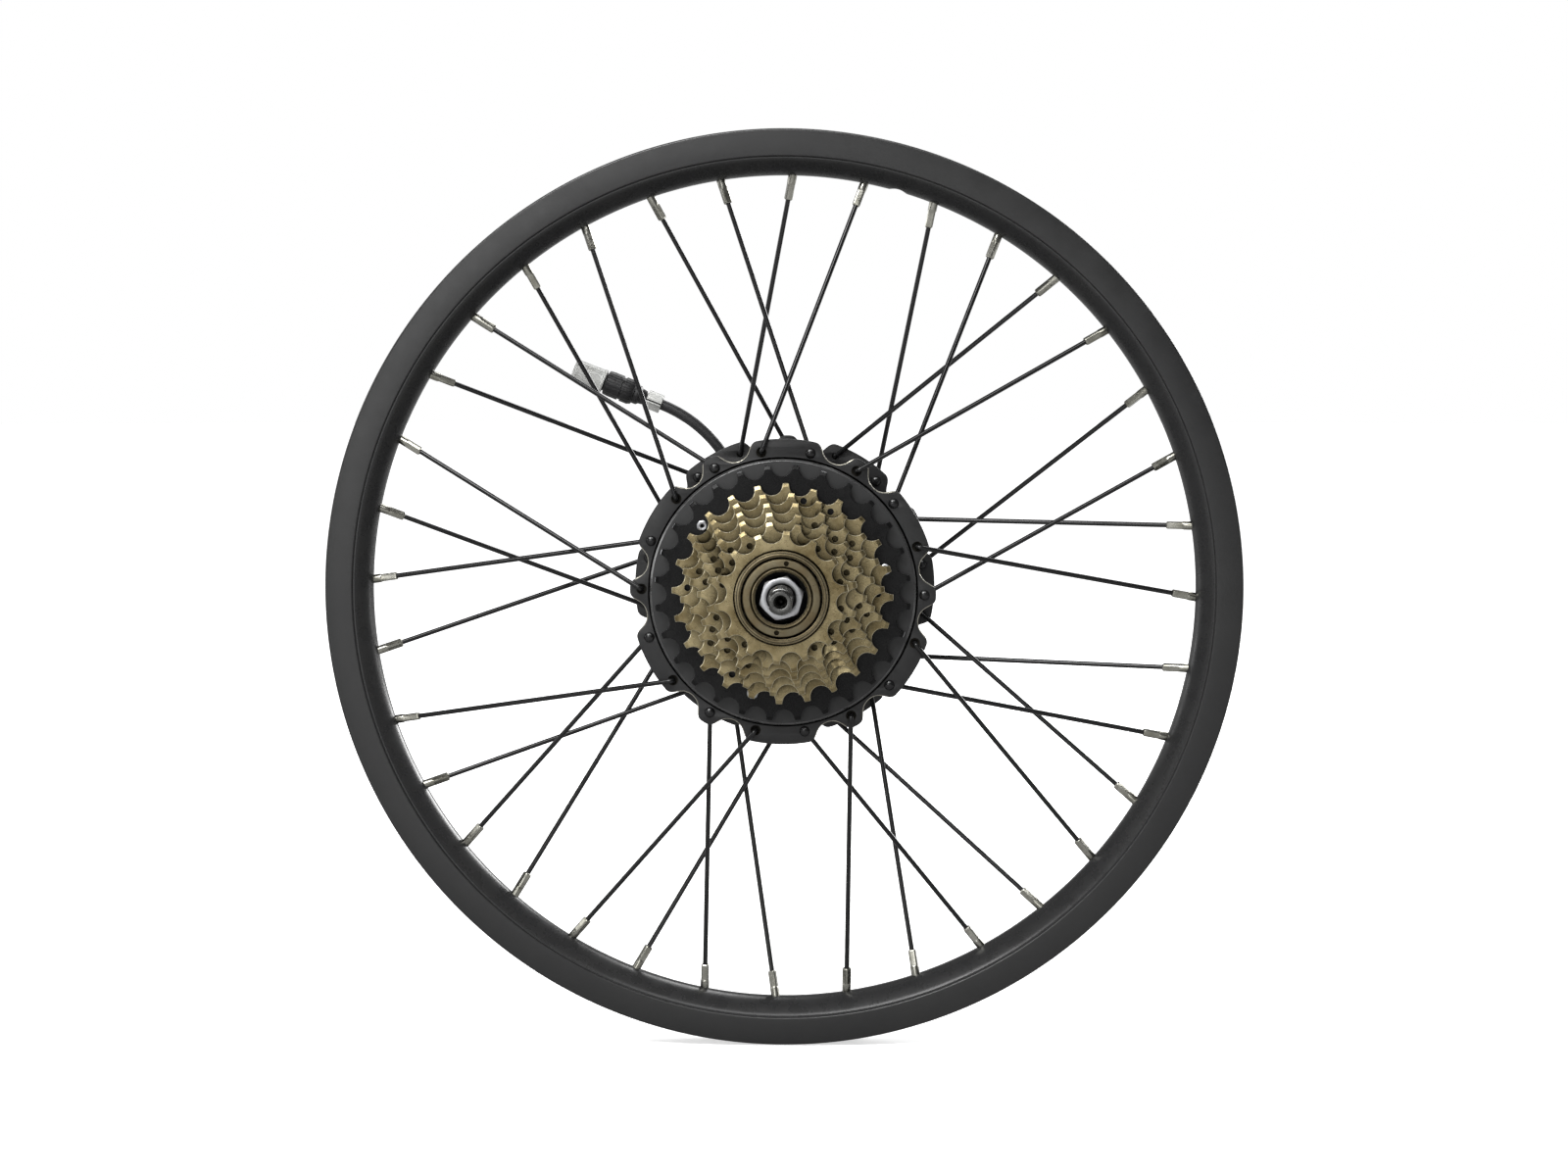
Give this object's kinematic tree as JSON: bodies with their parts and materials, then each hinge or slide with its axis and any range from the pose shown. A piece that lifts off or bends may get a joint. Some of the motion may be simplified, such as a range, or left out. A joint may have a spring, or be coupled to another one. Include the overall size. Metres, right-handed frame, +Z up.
{
  "type": "hub motor wheel",
  "caption": "Spoked small-diameter drive wheel with a geared motor hub, double-wall rim, stepped freewheel sprockets, disc brake mount and plug-in cable.",
  "frame": {"origin": "centre of the wheel: on the axle's axis, in the middle plane of the rim, half way between the two dropout faces", "axes": "+Y along the axle towards the disc brake side, -Y towards the freewheel (drive) side, +Z up, the wheel spins about Y"},
  "size_m": [0.42, 0.18, 0.42],
  "materials": {
    "axle_steel": "turned and ground, satin",
    "zinc": "bright zinc plate",
    "black_steel": "black oxide",
    "bearing_steel": "ground",
    "lamination": "stacked silicon steel",
    "copper": "enamelled copper wire",
    "board": "solder mask",
    "gear_steel": "machined",
    "cable_jacket": "satin moulded jacket",
    "plug_plastic": "moulded, fine satin",
    "clear_plastic": "milky translucent",
    "rim_black": "satin black anodised",
    "nipple_brass": "nickel plated brass",
    "spoke_black": "gloss black coat",
    "casing_black": "satin black powder coat",
    "seal_rubber": "moulded rubber",
    "freewheel_gold": "pale gold plate, satin",
    "freewheel_bronze": "darker bronze plate, satin",
    "magnet": "nickel plated magnet",
    "nylon": "moulded nylon",
    "sprocket_black": "black phosphate"
  },
  "bodies": {
    "axle_assembly": {"axle": "axle_steel", "locknut": "zinc", "spacer": "black_steel", "bearing_inner_drive": "bearing_steel", "bearing_inner_brake": "bearing_steel", "rotor_bearing_inner": "bearing_steel", "stator_core": "lamination", "windings": "copper", "hall_board": "board", "planet_carrier": "gear_steel", "planet_pins": "bearing_steel", "clutch_cam": "gear_steel", "clutch_rollers": "bearing_steel", "cable": "cable_jacket", "cable_grommet": "seal_rubber", "plug_boot": "plug_plastic", "plug_body": "plug_plastic", "plug_cap": "clear_plastic", "cable_clip": "clear_plastic"},
    "wheel": {"rim": "rim_black", "nipples": "nipple_brass", "spokes_drive": "spoke_black", "spokes_brake": "spoke_black", "hub_shell": "casing_black", "cover_drive": "casing_black", "cover_brake": "casing_black", "cover_screws": "black_steel", "ring_gear": "gear_steel", "bearing_outer_drive": "bearing_steel", "bearing_outer_brake": "bearing_steel", "seal_drive": "seal_rubber", "seal_brake": "seal_rubber", "freewheel_core": "freewheel_gold", "freewheel_cone": "freewheel_bronze", "freewheel_balls": "bearing_steel", "pawl_springs": "bearing_steel"},
    "rotor": {"rotor_bell": "gear_steel", "magnets": "magnet", "sun_gear": "gear_steel", "rotor_bearing_outer": "bearing_steel"},
    "planet_a": {"planet_1": "nylon"},
    "planet_b": {"planet_2": "nylon"},
    "planet_c": {"planet_3": "nylon"},
    "freewheel": {"freewheel_body": "freewheel_gold", "sprocket_28": "sprocket_black", "sprocket_24": "freewheel_gold", "sprocket_22": "freewheel_gold", "sprocket_20": "freewheel_gold", "sprocket_18": "freewheel_gold", "sprocket_16": "freewheel_gold", "sprocket_14": "freewheel_gold", "sprocket_spacers": "freewheel_bronze", "sprocket_rivets": "zinc"},
    "pawl_a": {"pawl_1": "bearing_steel"},
    "pawl_b": {"pawl_2": "bearing_steel"}
  },
  "joints": [
    {"name": "wheel_spin", "type": "hinge", "parent": "axle_assembly", "child": "wheel", "pos_m": [0, 0, 0], "axis": [0, 1, 0], "continuous": true},
    {"name": "rotor_spin", "type": "hinge", "parent": "axle_assembly", "child": "rotor", "pos_m": [0, 0, 0], "axis": [0, 1, 0], "continuous": true},
    {"name": "planet_a_spin", "type": "hinge", "parent": "axle_assembly", "child": "planet_a", "pos_m": [0, -0.011, 0.0285], "axis": [0, 1, 0], "continuous": true},
    {"name": "planet_b_spin", "type": "hinge", "parent": "axle_assembly", "child": "planet_b", "pos_m": [-0.02468, -0.011, -0.01425], "axis": [0, 1, 0], "continuous": true},
    {"name": "planet_c_spin", "type": "hinge", "parent": "axle_assembly", "child": "planet_c", "pos_m": [0.02468, -0.011, -0.01425], "axis": [0, 1, 0], "continuous": true},
    {"name": "freewheel_spin", "type": "hinge", "parent": "wheel", "child": "freewheel", "pos_m": [0, -0.048, 0], "axis": [0, 1, 0], "continuous": true},
    {"name": "pawl_a_tilt", "type": "hinge", "parent": "wheel", "child": "pawl_a", "pos_m": [0, -0.0487, 0.0173], "axis": [0, 1, 0], "range_deg": [0, 9]},
    {"name": "pawl_b_tilt", "type": "hinge", "parent": "wheel", "child": "pawl_b", "pos_m": [0, -0.0487, -0.0173], "axis": [0, 1, 0], "range_deg": [0, 9]}
  ],
  "couplings": [
    {"joint": "rotor_spin", "follows": "wheel_spin", "ratio": -4.4286},
    {"joint": "planet_a_spin", "follows": "wheel_spin", "ratio": 2.5833},
    {"joint": "planet_b_spin", "follows": "wheel_spin", "ratio": 2.5833},
    {"joint": "planet_c_spin", "follows": "wheel_spin", "ratio": 2.5833}
  ]
}
